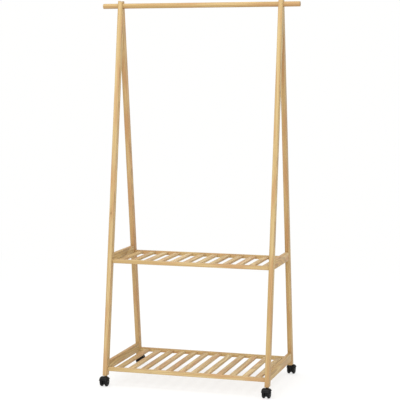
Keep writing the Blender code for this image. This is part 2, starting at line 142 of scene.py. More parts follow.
# ---- mesh resolution ----
ROD_SEGMENTS = 64
SMALL_SEGMENTS = 40
STEM_SEGMENTS = 48
BOSS_SEGMENTS = 56
CORE_SEGMENTS = 72
TYRE_SEGMENTS = 96
WEB_ARC_STEPS = 40
SHOULDER_STEPS = 10
HOOD_STEPS = 48

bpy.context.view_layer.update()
rng = random.Random(21)


# ---- node graphs ----
class Graph:
    """Small helper that adds and links the nodes of one material."""

    def __init__(self, name):
        self.material = bpy.data.materials.new(name)
        self.material.use_nodes = True
        self.tree = self.material.node_tree
        self.shader = self.tree.nodes["Principled BSDF"]

    def add(self, kind, **settings):
        node = self.tree.nodes.new(kind)
        for key, value in settings.items():
            setattr(node, key, value)
        return node

    def feed(self, socket, value):
        """Links an output to an input socket, or sets the input's own value."""
        if isinstance(value, bpy.types.NodeSocket):
            self.tree.links.new(value, socket)
        else:
            socket.default_value = value

    def math(self, operation, a, b=0.0, c=0.0, clamp=False):
        node = self.add("ShaderNodeMath", operation=operation, use_clamp=clamp)
        for socket, value in zip(node.inputs, (a, b, c)):
            self.feed(socket, value)
        return node.outputs[0]

    def vector_math(self, operation, a, b=(0, 0, 0)):
        node = self.add("ShaderNodeVectorMath", operation=operation)
        self.feed(node.inputs[0], a)
        self.feed(node.inputs[1], b)
        return node.outputs["Value" if operation == "LENGTH" else "Vector"]

    def attribute(self, name, output="Vector"):
        node = self.add("ShaderNodeAttribute", attribute_name=name, attribute_type="GEOMETRY")
        return node.outputs[output]

    def split(self, vector):
        node = self.add("ShaderNodeSeparateXYZ")
        self.feed(node.inputs[0], vector)
        return node.outputs

    def combine(self, x, y, z):
        node = self.add("ShaderNodeCombineXYZ")
        for socket, value in zip(node.inputs, (x, y, z)):
            self.feed(socket, value)
        return node.outputs[0]

    def stretch(self, parts, along, across):
        """Grain coordinates multiplied by one number along the piece and by another across it."""
        factors = (along, across, across)
        return self.combine(*[self.math("MULTIPLY", part, factor) for part, factor in zip(parts, factors)])

    def noise(self, vector, scale=1.0, detail=2.0, roughness=0.5):
        node = self.add("ShaderNodeTexNoise")
        self.feed(node.inputs["Vector"], vector)
        node.inputs["Scale"].default_value = scale
        node.inputs["Detail"].default_value = detail
        node.inputs["Roughness"].default_value = roughness
        return node.outputs["Fac"]

    def map_range(self, value, low, high, to_low=0.0, to_high=1.0, kind="SMOOTHSTEP"):
        node = self.add("ShaderNodeMapRange", interpolation_type=kind)
        for socket, number in zip(node.inputs, (value, low, high, to_low, to_high)):
            self.feed(socket, number)
        return node.outputs[0]

    def mix(self, factor, a, b, blend="MIX"):
        node = self.add("ShaderNodeMix", data_type="RGBA", blend_type=blend)
        self.feed(node.inputs["Factor"], factor)
        for socket, value in zip((node.inputs[6], node.inputs[7]), (a, b)):
            if isinstance(value, bpy.types.NodeSocket):
                self.tree.links.new(value, socket)
            else:
                socket.default_value = (*value, 1.0)
        return node.outputs[2]

    def ramp(self, factor, stops, interpolation="EASE"):
        node = self.add("ShaderNodeValToRGB")
        node.color_ramp.interpolation = interpolation
        elements = node.color_ramp.elements
        while len(elements) < len(stops):
            elements.new(0.5)
        for element, (position, color) in zip(elements, stops):
            element.position = position
            element.color = (*color, 1.0)
        self.feed(node.inputs[0], factor)
        return node.outputs[0]

    def bump(self, height, strength, distance):
        node = self.add("ShaderNodeBump")
        node.inputs["Strength"].default_value = strength
        node.inputs["Distance"].default_value = distance
        self.feed(node.inputs["Height"], height)
        self.tree.links.new(node.outputs[0], self.shader.inputs["Normal"])

    def finish(self, **inputs):
        for name, value in inputs.items():
            socket = self.shader.inputs[name.replace("_", " ")]
            if isinstance(value, tuple):
                value = (*value, 1.0)
            self.feed(socket, value)
        return self.material


# ---- materials ----
PINE_LIGHT = (0.590, 0.450, 0.222)
PINE_MID = (0.500, 0.350, 0.150)
PINE_RED = (0.490, 0.290, 0.134)
PINE_LATE = (0.290, 0.176, 0.067)
PINE_KNOT = (0.170, 0.080, 0.032)
# redder, darker tint for heartwood; on the rear legs it is also painted shade
HEARTWOOD_AND_SHADE_TINT = (0.89, 0.80, 0.73)

# growth rings, metres
RING_SPACING = 0.0052
RING_WANDER = 0.046           # how far the rings stray from circles
RING_TAPER = 0.010            # how much the field of rings shifts per metre along a piece
PITH_SPREAD = (0.0, 0.003, 0.011)       # per unit of a piece's random seed
LATE_WOOD_RISE = (0.25, 0.93)           # in a ring from 0 to 1
LATE_WOOD_FALL = (1.0, 0.95)

# noise cells per metre: along a piece, across it
WANDER_CELLS = (2.6, 16.0)
FIBRE_CELLS = (11.0, 800.0)
STREAK_CELLS = (2.6, 110.0)
PATCH_CELLS = (5.0, 40.0)

# knots
KNOT_CELLS_PER_METRE = 22.0
KNOT_STRETCH = 0.36           # cells are longer along the grain by one over this
KNOT_CHANCE = (0.42, 0.50)    # a cell's random value that starts and completes a knot
KNOT_EDGE = (0.0030, 0.0010)
KNOT_HALO_EDGE = (0.0120, 0.0010)
KNOT_RING_PUSH = 0.0050

# how the colours are laid over each other
STREAK_RANGE = (0.36, 0.62)
PATCH_RANGE = (0.46, 0.64, 0.0, 0.85)
FIBRE_RANGE = (0.54, 0.78, 0.0, 0.34)
LATE_STRENGTH = 0.62
HALO_STRENGTH = 0.32
KNOT_STRENGTH = 0.85
PIECE_BRIGHTNESS = (0.25, 0.75, 0.93, 1.07)
END_GRAIN = (0.0016, 0.0006, 0.0, 0.45)
# painted shade along the long edges: distances from an edge where it starts and where it is full, in metres,
# then its strength by the fibres
EDGE_PAINTED_SHADE = (0.0024, 0.0004)
EDGE_PAINTED_SHADE_BY_FIBRE = (0.35, 0.65, 0.10, 0.34)
PINE_ROUGHNESS = (0.58, 0.46)           # early wood, late wood
PINE_SPECULAR = 0.28

# black plastics: (base colour, colour of worn high spots, roughness)
HOOD_LOOK = ((0.0030, 0.0030, 0.0033), (0.0060, 0.0060, 0.0066), 0.40)
CORE_LOOK = ((0.0038, 0.0038, 0.0041), (0.0072, 0.0072, 0.0078), 0.34)
TREAD_LOOK = ((0.0055, 0.0055, 0.0058), (0.0110, 0.0107, 0.0104), 0.60)
PLASTIC_SPECULAR = 0.15
STEEL_COLORS = [(0.30, (0.50, 0.51, 0.53)), (0.55, (0.66, 0.67, 0.68)), (0.80, (0.72, 0.71, 0.66))]
SCUFF_BRIGHTNESS = 3.0


def pine_rings(g, place, shifted, seed, knot_halo):
    """How much late wood there is: rings round a pith beside the piece, widest on flat-sawn faces."""
    slow = g.noise(g.stretch(shifted, *WANDER_CELLS), 1.0, 1.0, 0.4)
    wander = g.math("MULTIPLY", g.math("SUBTRACT", slow, 0.5), RING_WANDER)
    pith = g.split(g.vector_math("MULTIPLY", seed, PITH_SPREAD))
    from_pith = g.combine(0.0, g.math("ADD", place[1], pith[1]), g.math("ADD", place[2], pith[2]))
    radius = g.vector_math("LENGTH", from_pith)
    field = g.math("ADD", radius, g.math("ADD", wander, g.math("MULTIPLY", shifted[0], RING_TAPER)))
    field = g.math("ADD", field, g.math("MULTIPLY", knot_halo, KNOT_RING_PUSH))
    ring = g.math("FRACT", g.math("DIVIDE", field, RING_SPACING))
    rise = g.map_range(ring, *LATE_WOOD_RISE)
    return g.math("MULTIPLY", rise, g.map_range(ring, *LATE_WOOD_FALL))


def pine_knots(g, shifted):
    """Knots and the halo round each: sparse cells, squeezed along the grain."""
    cells = g.add("ShaderNodeTexVoronoi", feature="F1")
    squeezed = g.combine(g.math("MULTIPLY", shifted[0], KNOT_STRETCH), shifted[1], shifted[2])
    g.feed(cells.inputs["Vector"], squeezed)
    cells.inputs["Scale"].default_value = KNOT_CELLS_PER_METRE
    distance = g.math("DIVIDE", cells.outputs["Distance"], KNOT_CELLS_PER_METRE)
    has_knot = g.map_range(g.split(cells.outputs["Color"])[0], *KNOT_CHANCE)
    knot = g.math("MULTIPLY", has_knot, g.map_range(distance, *KNOT_EDGE))
    halo = g.math("MULTIPLY", has_knot, g.map_range(distance, *KNOT_HALO_EDGE))
    return knot, halo


def pine():
    """Flat-sawn pine: growth rings, fibres along the piece, a few small knots and a thin satin finish."""
    g = Graph("pine")
    along = g.attribute("along")
    seed = g.attribute("seed")
    half = g.split(g.attribute("half_size"))
    place = g.split(along)
    shifted = g.split(g.vector_math("ADD", along, seed))

    knot, knot_halo = pine_knots(g, shifted)
    late = pine_rings(g, place, shifted, seed, knot_halo)
    fibre = g.noise(g.stretch(shifted, *FIBRE_CELLS), 1.0, 3.0, 0.6)
    streak = g.noise(g.stretch(shifted, *STREAK_CELLS), 1.0, 2.0, 0.5)
    patch = g.noise(g.stretch(shifted, *PATCH_CELLS), 1.0, 1.0, 0.5)
    tone = g.noise(g.vector_math("MULTIPLY", seed, (3.1, 5.7, 4.3)), 1.0, 0.0)

    color = g.mix(g.map_range(streak, *STREAK_RANGE), PINE_LIGHT, PINE_MID)
    color = g.mix(g.map_range(patch, *PATCH_RANGE), color, PINE_RED)
    color = g.mix(g.math("MULTIPLY", late, LATE_STRENGTH), color, PINE_LATE)
    color = g.mix(g.map_range(fibre, *FIBRE_RANGE), color, PINE_LATE)
    # heartwood tint; on the rear legs it is also painted shade that darkens them
    color = g.mix(g.attribute("warmth_and_shade", "Fac"), color, HEARTWOOD_AND_SHADE_TINT, "MULTIPLY")
    color = g.mix(g.math("MULTIPLY", knot_halo, HALO_STRENGTH), color, PINE_LATE)
    color = g.mix(g.math("MULTIPLY", knot, KNOT_STRENGTH), color, PINE_KNOT)
    bright = g.map_range(tone, *PIECE_BRIGHTNESS, "LINEAR")
    color = g.mix(1.0, color, g.combine(bright, bright, g.math("MULTIPLY", bright, bright)), "MULTIPLY")

    # end grain takes up more of the finish, and the long edges get painted shade: the colour darkens towards
    # them, unevenly with the fibres
    from_end = g.math("SUBTRACT", half[0], g.math("ABSOLUTE", place[0]))
    color = g.mix(g.map_range(from_end, *END_GRAIN), color, PINE_LATE)
    from_edge = g.math(
        "MAXIMUM",
        g.math("SUBTRACT", half[1], g.math("ABSOLUTE", place[1])),
        g.math("SUBTRACT", half[2], g.math("ABSOLUTE", place[2])),
    )
    # painted shade: the colour darkens near the long edges
    edge_painted_shade = g.math("MULTIPLY", g.map_range(from_edge, *EDGE_PAINTED_SHADE), g.map_range(fibre, *EDGE_PAINTED_SHADE_BY_FIBRE))
    color = g.mix(edge_painted_shade, color, PINE_LATE)

    roughness = g.map_range(late, 0.0, 1.0, *PINE_ROUGHNESS, "LINEAR")
    roughness = g.math("ADD", roughness, g.math("MULTIPLY", g.math("SUBTRACT", fibre, 0.5), 0.16))
    g.bump(g.math("ADD", g.math("MULTIPLY", late, 0.55), g.math("MULTIPLY", fibre, 0.45)), 0.25, 0.00025)
    return g.finish(Base_Color=color, Roughness=roughness, Specular_IOR_Level=PINE_SPECULAR)


def moulded_plastic(name, base, worn, roughness):
    """Black moulded plastic with a fine eroded texture and slightly polished, greyer high spots."""
    g = Graph(name)
    place = g.attribute("along")
    grain = g.noise(place, 2600.0, 3.0, 0.6)
    cloud = g.noise(place, 90.0, 2.0, 0.5)
    scuff_place = g.vector_math("MULTIPLY", place, (500.0, 1600.0, 500.0))
    scuff = g.map_range(g.noise(scuff_place, 1.0, 2.0, 0.7), 0.66, 0.78)
    color = g.mix(g.map_range(cloud, 0.35, 0.70), base, worn)
    color = g.mix(g.math("MULTIPLY", scuff, 0.35), color, tuple(SCUFF_BRIGHTNESS * c for c in worn))
    cloudy = g.map_range(cloud, 0.3, 0.7, roughness - 0.06, roughness + 0.06, "LINEAR")
    rough = g.math("ADD", cloudy, g.math("MULTIPLY", scuff, 0.15))
    g.bump(grain, 0.30, 0.00008)
    return g.finish(Base_Color=color, Roughness=rough, Specular_IOR_Level=PLASTIC_SPECULAR)


def zinc_steel():
    """Zinc-plated steel with fine turning marks."""
    g = Graph("zinc_steel")
    place = g.attribute("along")
    marks = g.noise(g.vector_math("MULTIPLY", place, (5200.0, 500.0, 500.0)), 1.0, 2.0, 0.5)
    patch = g.noise(place, 160.0, 2.0, 0.5)
    color = g.ramp(patch, STEEL_COLORS)
    rough = g.map_range(marks, 0.3, 0.7, 0.24, 0.40, "LINEAR")
    g.bump(marks, 0.25, 0.00003)
    return g.finish(Base_Color=color, Roughness=rough, Metallic=1.0)


# ---- mesh helpers ----
def box_bmesh(low, high):
    bm = bmesh.new()
    bmesh.ops.create_cube(bm, size=1.0)
    for vert in bm.verts:
        vert.co = Vector([low[i] + (vert.co[i] + 0.5) * (high[i] - low[i]) for i in range(3)])
    return bm


def prism_bmesh(outline, x_low, x_high):
    """A prism along X from an outline of (y, z) points."""
    bm = bmesh.new()
    face = bm.faces.new([bm.verts.new((x_low, y, z)) for y, z in outline])
    moved = bmesh.ops.extrude_face_region(bm, geom=[face])["geom"]
    for vert in moved:
        if isinstance(vert, bmesh.types.BMVert):
            vert.co.x = x_high
    bmesh.ops.recalc_face_normals(bm, faces=bm.faces)
    return bm


def turned_bmesh(profile, segments, closed):
    """Turned about Z from (radius, z) points; a closed profile makes a ring, an open one gets end caps."""
    bm = bmesh.new()
    rings = []
    for i in range(segments):
        angle = 2 * math.pi * i / segments
        rings.append([bm.verts.new((r * math.cos(angle), r * math.sin(angle), z)) for r, z in profile])
    count = len(profile)
    spans = count if closed else count - 1
    for i in range(segments):
        ring = rings[i]
        following = rings[(i + 1) % segments]
        for j in range(spans):
            k = (j + 1) % count
            bm.faces.new((ring[j], following[j], following[k], ring[k]))
    if not closed:
        bm.faces.new([ring[0] for ring in rings])
        bm.faces.new([ring[-1] for ring in rings])
    bmesh.ops.recalc_face_normals(bm, faces=bm.faces)
    return bm


def arc(centre, radius, start, end, steps):
    """Points on an arc, angles from the first axis towards the second."""
    points = []
    for i in range(steps + 1):
        angle = start + (end - start) * i / steps
        points.append((centre[0] + radius * math.cos(angle), centre[1] + radius * math.sin(angle)))
    return points


def arc_from_up(centre, radius, start, end, steps):
    """Points (y, z) on an arc whose angles are measured from straight up towards +Y."""
    return arc(centre, radius, math.pi / 2 - start, math.pi / 2 - end, steps)


def round_edges(bm, width, min_angle=30, steps=EDGE_STEPS):
    """Rounds every edge sharper than an angle with a few steps."""
    edges = []
    for edge in bm.edges:
        if len(edge.link_faces) == 2 and math.degrees(edge.calc_face_angle(0)) > min_angle:
            edges.append(edge)
    bevel(bm, edges, width, steps)


def bevel(bm, edges, width, steps):
    bmesh.ops.bevel(
        bm, geom=edges, offset=width, segments=steps, profile=0.5, affect="EDGES", clamp_overlap=True
    )


def rotate(bm, angle, axis):
    """Turns a whole bmesh about a world axis through the origin."""
    bmesh.ops.rotate(bm, verts=bm.verts, cent=(0, 0, 0), matrix=Matrix.Rotation(angle, 3, axis))


def move(bm, shift):
    bmesh.ops.translate(bm, verts=bm.verts, vec=shift)


def loft_bmesh(outlines):
    """A solid through closed outlines with the same number of points, capped at both ends."""
    bm = bmesh.new()
    rings = [[bm.verts.new(point) for point in outline] for outline in outlines]
    for ring, following in zip(rings, rings[1:]):
        for i in range(len(ring)):
            k = (i + 1) % len(ring)
            bm.faces.new((ring[i], ring[k], following[k], following[i]))
    bm.faces.new(rings[0])
    bm.faces.new(rings[-1])
    bmesh.ops.recalc_face_normals(bm, faces=bm.faces)
    return bm


def mesh_object(name, bm, mat=None):
    mesh = bpy.data.meshes.new(name)
    bm.to_mesh(mesh)
    bm.free()
    obj = bpy.data.objects.new(name, mesh)
    if mat is not None:
        mesh.materials.append(mat)
    bpy.context.scene.collection.objects.link(obj)
    return obj


def combine(obj, tools, operation):
    """Applies exact Booleans with a list of tool meshes, which are used up."""
    for tool_bm in tools:
        tool = mesh_object("tool", tool_bm)
        modifier = obj.modifiers.new("combine", "BOOLEAN")
        modifier.operation = operation
        modifier.solver = "EXACT"
        modifier.object = tool
        bpy.context.view_layer.update()
        evaluated = obj.evaluated_get(bpy.context.evaluated_depsgraph_get())
        result = bpy.data.meshes.new_from_object(evaluated)
        obj.modifiers.clear()
        old = obj.data
        name = old.name
        obj.data = result
        bpy.data.meshes.remove(old)
        obj.data.name = name
        bpy.data.objects.remove(tool)


def random_seed():
    """Where in the log a piece is cut: a shift along the grain and two across it."""
    def across():
        return rng.choice((-1, 1)) * rng.uniform(2, 6)
    return np.array([rng.uniform(-9, 9), across(), across()])


def write_grain(mesh, origin, axes, half_size, warmth_and_shade):
    """Writes the attributes that the materials read: place along the grain, seed, half size and heartwood
    value, which on the rear legs is also painted shade.
    """
    count = len(mesh.vertices)
    places = np.empty(count * 3, dtype=np.float32)
    mesh.vertices.foreach_get("co", places)
    frame_axes = np.array([list(Vector(a).normalized()) for a in axes])
    vectors = {
        "along": (places.reshape(-1, 3) - np.array(list(origin))) @ frame_axes.T,
        "seed": np.tile(random_seed(), (count, 1)),
        "half_size": np.tile(half_size, (count, 1)),
    }
    for name, values in vectors.items():
        attribute = mesh.attributes.new(name, "FLOAT_VECTOR", "POINT")
        attribute.data.foreach_set("vector", values.astype(np.float32).ravel())
    drawn_warmth = rng.uniform(0.0, 0.5)
    attribute = mesh.attributes.new("warmth_and_shade", "FLOAT", "POINT")
    attribute.data.foreach_set("value", [drawn_warmth if warmth_and_shade is None else warmth_and_shade] * count)


def dress(obj, mat, origin, axes, half_size, body, node=None, warmth_and_shade=None):
    """Gives a piece its grain, smooth shading, material and body, and hides the CAD node that it stands for.

    axes are three world directions: along the grain and the two across it. The last argument is 0 for pale
    sapwood and
    1 for red heartwood, and random where it isn't given; the rear legs' high value is also painted shade.
    """
    mesh = obj.data
    write_grain(mesh, origin, axes, half_size, warmth_and_shade)
    mesh.materials.clear()
    mesh.materials.append(mat)
    mesh.shade_smooth()
    mesh.set_sharp_from_angle(angle=math.radians(SHARP_ANGLE))
    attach(obj, body)
    if node is not None:
        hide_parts(node)
    return obj


X_AXIS = Vector((1, 0, 0))
Y_AXIS = Vector((0, 1, 0))
Z_AXIS = Vector((0, 0, 1))
WORLD_AXES = (X_AXIS, Y_AXIS, Z_AXIS)
NO_EDGES = (1, 1, 1)          # half size in metres of a piece whose edges the material doesn't mark


def box_centre(node):
    low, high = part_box(node)
    return (Vector(low) + Vector(high)) / 2


def box_size(node):
    low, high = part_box(node)
    return Vector(high) - Vector(low)


# ---- the A-frames ----
def joint_position(name):
    return next(joint["pos_m"] for joint in frame["joints"] if joint["name"] == name)


def swivel_place(end_name, side_name):
    """Where a leg's centre line meets its foot: on its caster's swivel axis."""
    return Vector(joint_position(f"caster_{end_name}_{side_name}_swivel"))


def leg_axes(end):
    """A leg's direction upwards, and the direction across it towards +Y."""
    lean = -end
    along = Vector((0, lean * math.sin(LEG_LEAN), math.cos(LEG_LEAN)))
    across = Vector((0, math.cos(LEG_LEAN), -lean * math.sin(LEG_LEAN)))
    return along, across


def leg_outline(end, foot, apex_height, depth, top_rise):
    """The (y, z) corners of a leg: a level foot and a square top."""
    along, across = leg_axes(end)
    apex = Vector((0, 0, apex_height))
    points = []
    for side in (-1, 1):
        edge = apex + across * (side * depth / 2)
        low = edge - along * ((edge.z - foot.z) / math.cos(LEG_LEAN))
        high = edge + along * top_rise
        pair = [(low.y, low.z), (high.y, high.z)]
        points += pair if side < 0 else pair[::-1]
    return points


def cylinder_x(radius, centre, low, high, segments=ROD_SEGMENTS):
    """A cylinder along X from low to high, at the centre's y and z."""
    bm = turned_bmesh([(radius, low), (radius, high)], segments, closed=False)
    rotate(bm, math.pi / 2, "Y")
    move(bm, (0, centre[1], centre[2]))
    return bm


def make_leg(end_name, side_name, wood):
    end = ENDS[end_name]
    side = SIDES[side_name]
    node = f"leg_{end_name}_{side_name}"
    low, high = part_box(node)
    width = high[0] - low[0]
    centre_x = (low[0] + high[0]) / 2
    foot = swivel_place(end_name, side_name)
    foot.z = low[2]
    apex_height = foot.z + abs(foot.y) / math.tan(LEG_LEAN)
    bm = prism_bmesh(leg_outline(end, foot, apex_height, LEG_DEPTH, LEG_TOP_RISE), low[0], high[0])
    round_edges(bm, LEG_ROUND)
    leg = mesh_object(f"{node}_wood", bm)

    # half lap: a front leg keeps its outer half, a rear leg its inner half
    removed = side * end
    reach = sorted((centre_x - removed * GAP / 2, centre_x + removed * width))
    lap = prism_bmesh(leg_outline(-end, foot, apex_height, LEG_DEPTH + 2 * GAP, LEG_DEPTH), *reach)
    rod = box_centre("hanging_rod")
    bore = cylinder_x(box_size("hanging_rod").z / 2 + GAP, rod, centre_x - width, centre_x + width)
    combine(leg, [lap, bore], "DIFFERENCE")
    along, across = leg_axes(end)
    length = (apex_height - foot.z) / math.cos(LEG_LEAN)
    middle = Vector((centre_x, 0, apex_height)) - along * (length / 2)
    half_size = (length / 2 + LEG_TOP_RISE, LEG_DEPTH / 2, width / 2)
    dress(leg, wood, middle, (along, across, X_AXIS), half_size, ROOT, node, LEG_WARMTH_AND_SHADE[end_name])


# ---- the rod ----
def make_rod(wood):
    low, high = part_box("hanging_rod")
    radius = (high[2] - low[2]) / 2
    half = (high[0] - low[0]) / 2
    corner = radius - ROD_END_ROUND
    start = arc((corner, -half + ROD_END_ROUND), ROD_END_ROUND, -math.pi / 2, 0, 5)
    end = arc((corner, half - ROD_END_ROUND), ROD_END_ROUND, 0, math.pi / 2, 5)
    cap = CAP_RADIUS["rod"]
    bm = turned_bmesh([(cap, -half)] + start + end + [(cap, half)], ROD_SEGMENTS, closed=False)
    rotate(bm, math.pi / 2, "Y")
    centre = box_centre("hanging_rod")
    move(bm, centre)
    rod = mesh_object("hanging_rod_wood", bm)
    dress(rod, wood, centre, WORLD_AXES, (half, 0.2, 0.2), ROOT, "hanging_rod")


def screw_profile(head, length):
    """A countersunk screw's (radius, height) outline from its tip to its flat head."""
    shank = head * SCREW_SHANK_RATIO
    cap = CAP_RADIUS["screw"]
    profile = [(cap, 0), (shank * SCREW_TIP_RATIO, 0.0003), (shank, SCREW_POINT_LENGTH)]
    profile += [(shank, length - head + shank), (head - 0.0001, length - 0.0003)]
    profile += [(head, length - 0.0002), (head - 0.0001, length), (cap, length)]
    return profile


def make_rod_screw(side_name, steel):
    """A countersunk screw with a cross recess, in from behind."""
    node = f"rod_screw_{side_name}"
    low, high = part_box(node)
    head = (high[0] - low[0]) / 2
    length = high[1] - low[1]
    bm = turned_bmesh(screw_profile(head, length), SMALL_SEGMENTS, closed=False)
    rotate(bm, -math.pi / 2, "X")
    centre = box_centre(node)
    move(bm, (centre.x, low[1], centre.z))
    screw = mesh_object(f"{node}_steel", bm)

    reach = head * RECESS_REACH_RATIO
    floor_y = high[1] - RECESS_DEPTH
    over_y = high[1] + 0.001
    recess = []
    for x, z in ((reach, RECESS_HALF_WIDTH), (RECESS_HALF_WIDTH, reach)):
        corners = (centre.x - x, floor_y, centre.z - z), (centre.x + x, over_y, centre.z + z)
        recess.append(box_bmesh(*corners))
    combine(screw, recess, "DIFFERENCE")
    dress(screw, steel, centre, (Y_AXIS, X_AXIS, Z_AXIS), (length / 2, head, head), ROOT, node)


# ---- the shelves ----
def slat_ring(half_width, half_height, radius, steps=4):
    """The rounded (x, z) outline of a slat's section about its centre."""
    points = []
    for corner, (x_sign, z_sign) in enumerate(((1, 1), (-1, 1), (-1, -1), (1, -1))):
        centre = (x_sign * (half_width - radius), z_sign * (half_height - radius))
        start = corner * math.pi / 2
        points += arc(centre, radius, start, start + math.pi / 2, steps)
    return points


def make_slat(node, wood):
    """A slat with rounded edges, square shoulders against the rails and a smaller tenon at each end."""
    centre = box_centre(node)
    half = box_size(node) / 2
    full = slat_ring(half.x, half.z, SLAT_ROUND)
    eased = slat_ring(half.x - SLAT_EASE, half.z - SLAT_EASE, SLAT_ROUND - 0.0002)
    tenon = slat_ring(half.x - SLAT_SHOULDER, half.z - SLAT_SHOULDER, TENON_ROUND)
    shoulder_y = half.y - TENON_LENGTH - GAP
    far_half = [(shoulder_y - SLAT_EASE, full), (shoulder_y, eased), (shoulder_y, tenon), (half.y, tenon)]
    stations = [(-y, section) for y, section in far_half[::-1]] + far_half
    outlines = []
    for y, section in stations:
        outlines.append([(centre.x + x, centre.y + y, centre.z + z) for x, z in section])
    slat = mesh_object(f"{node}_wood", loft_bmesh(outlines))
    dress(slat, wood, centre, (Y_AXIS, X_AXIS, Z_AXIS), (half.y, half.x, half.z), ROOT, node)


def make_rail(shelf, end_name, wood):
    """A rail with a mortise for each slat's tenon."""
    node = f"{shelf}_rail_{end_name}"
    bm = box_bmesh(*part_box(node))
    round_edges(bm, RAIL_ROUND)
    rail = mesh_object(f"{node}_wood", bm)
    step = SLAT_SHOULDER - GAP
    inset = Vector((step, -GAP, step))
    mortises = []
    for index in range(SLATS_PER_SHELF):
        low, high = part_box(f"{shelf}_slat_{index + 1:02d}")
        mortises.append(box_bmesh(Vector(low) + inset, Vector(high) - inset))
    combine(rail, [joined(mortises)], "DIFFERENCE")
    size = box_size(node)
    dress(rail, wood, box_centre(node), WORLD_AXES, (size.x, size.y / 2, size.z / 2), ROOT, node)


def joined(parts):
    """One bmesh from several that don't touch."""
    whole = bmesh.new()
    for part in parts:
        mesh = bpy.data.meshes.new("part")
        part.to_mesh(mesh)
        part.free()
        whole.from_mesh(mesh)
        bpy.data.meshes.remove(mesh)
    return whole


def make_side_board(shelf, side_name, wood):
    """A board whose ends follow the legs' lean."""
    node = f"{shelf}_side_board_{side_name}"
    low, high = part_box(node)
    narrowing = (high[2] - low[2]) * math.tan(LEG_LEAN)
    outline = [(low[1], low[2]), (low[1] + narrowing, high[2])]
    outline += [(high[1] - narrowing, high[2]), (high[1], low[2])]
    bm = prism_bmesh(outline, low[0], high[0])
    round_edges(bm, BOARD_ROUND)
    board = mesh_object(f"{node}_wood", bm)
    size = box_size(node)
    half_size = (size.y, size.z / 2, size.x / 2)
    axes = (Y_AXIS, Z_AXIS, X_AXIS)
    dress(board, wood, box_centre(node), axes, half_size, ROOT, node, BOARD_WARMTH)


def plug_profile():
    """A wooden plug's (radius, height) outline, slightly crowned on top."""
    outer = PLUG_DEPTH + PLUG_PROUD
    eased = 0.3 * PLUG_CROWN
    cap = CAP_RADIUS["plug"]
    profile = [(cap, 0), (PLUG_RADIUS, 0), (PLUG_RADIUS, outer - PLUG_CROWN)]
    profile += [(PLUG_RADIUS - eased, outer - eased), (PLUG_RADIUS - PLUG_CROWN, outer)]
    profile += [(cap, outer + 0.0001)]
    return profile


def make_plug(shelf, end_name, side_name, wood):
    """A wooden plug over the bolt that goes through the leg into the rail's end."""
    side = SIDES[side_name]
    rail = box_centre(f"{shelf}_rail_{end_name}")
    low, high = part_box(f"leg_{end_name}_{side_name}")
    face_x = high[0] if side > 0 else low[0]
    bm = turned_bmesh(plug_profile(), SMALL_SEGMENTS, closed=False)
    rotate(bm, side * math.pi / 2, "Y")
    place = Vector((face_x - side * PLUG_DEPTH, rail.y, rail.z))
    move(bm, place)
    plug = mesh_object(f"bolt_plug_{shelf}_{end_name}_{side_name}", bm)
    turn = rng.uniform(0.2, 1.2)
    grain = Vector((0, math.sin(turn), math.cos(turn)))
    dress(plug, wood, place, (grain, grain.cross(X_AXIS), X_AXIS), NO_EDGES, ROOT, None)


# ---- the casters ----
def caster_axle():
    """The axle's (y, z) in a caster's own frame, whose origin is on the floor under the swivel axis."""
    swivel = swivel_place("front", "left")
    spin = joint_position("caster_front_left_wheel_left_spin")
    return (spin[1] - swivel.y, spin[2])


def web_bmesh():
    """The housing's middle: a disc round the axle that reaches up into the hood."""
    axle = caster_axle()
    hub = arc_from_up(axle, WEB_HUB_RADIUS, WEB_HUB_START, WEB_HUB_START + math.pi, WEB_ARC_STEPS)
    inside = WHEEL_RADIUS + HOOD_CLEARANCE + HOOD_THICKNESS / 2
    roof = arc_from_up(axle, inside, HOOD_FRONT_ANGLE, HOOD_REAR_ANGLE, WEB_ARC_STEPS)
    bm = prism_bmesh(hub + roof, -WEB_THICKNESS / 2, WEB_THICKNESS / 2)
    round_edges(bm, WEB_ROUND, 60)
    return bm


def shoulder(distance, end_angle, steps):
    """Points (x, radius) at a distance outside the tread, from its flat down over the outer shoulder."""
    outer_x = WEB_THICKNESS / 2 + WHEEL_CLEARANCE + WHEEL_WIDTH
    centre = (outer_x - WHEEL_OUTER_ROUND, WHEEL_RADIUS - WHEEL_OUTER_ROUND)
    return arc_from_up(centre, WHEEL_OUTER_ROUND + distance, 0.0, end_angle, steps)


def hood_section():
    """Closed (x, radius) outline of the hood, with a small bead along each lip."""
    outside = HOOD_CLEARANCE + HOOD_THICKNESS
    outer = shoulder(outside, HOOD_LIP_ANGLE - HOOD_BEAD_ANGLE, SHOULDER_STEPS)
    bead = shoulder(outside + HOOD_LIP_BEAD, HOOD_LIP_ANGLE, SHOULDER_STEPS)
    inner = shoulder(HOOD_CLEARANCE, HOOD_LIP_ANGLE, SHOULDER_STEPS)
    lip_middle = tuple(0.6 * a + 0.4 * b for a, b in zip(bead[-1], inner[-1]))
    outer_half = outer + [bead[-2], bead[-1], lip_middle]
    inner_half = inner[::-1]
    mirrored_outer = [(-x, r) for x, r in outer_half]
    mirrored_inner = [(-x, r) for x, r in inner_half]
    return mirrored_outer[::-1] + outer_half + inner_half + mirrored_inner[::-1]


def hood_bmesh():
    """The rounded mudguard over both wheels, its two ends rounded off."""
    axle = caster_axle()
    section = hood_section()
    outlines = []
    for i in range(HOOD_STEPS + 1):
        angle = HOOD_FRONT_ANGLE + (HOOD_REAR_ANGLE - HOOD_FRONT_ANGLE) * i / HOOD_STEPS
        sine, cosine = math.sin(angle), math.cos(angle)
        outlines.append([(x, axle[0] + radius * sine, axle[1] + radius * cosine) for x, radius in section])
    bm = loft_bmesh(outlines)
    end_edges = [e for e in bm.edges if any(len(f.verts) > 4 for f in e.link_faces)]
    bevel(bm, end_edges, HOOD_END_ROUND, 2)
    return bm


def place_caster(bm, end_name, side_name):
    """Moves a shape from a caster's own frame to its place at rest; rear casters are turned half round."""
    swivel = swivel_place(end_name, side_name)
    swivel.z = 0.0
    rotate(bm, 0.0 if ENDS[end_name] < 0 else math.pi, "Z")
    move(bm, swivel)


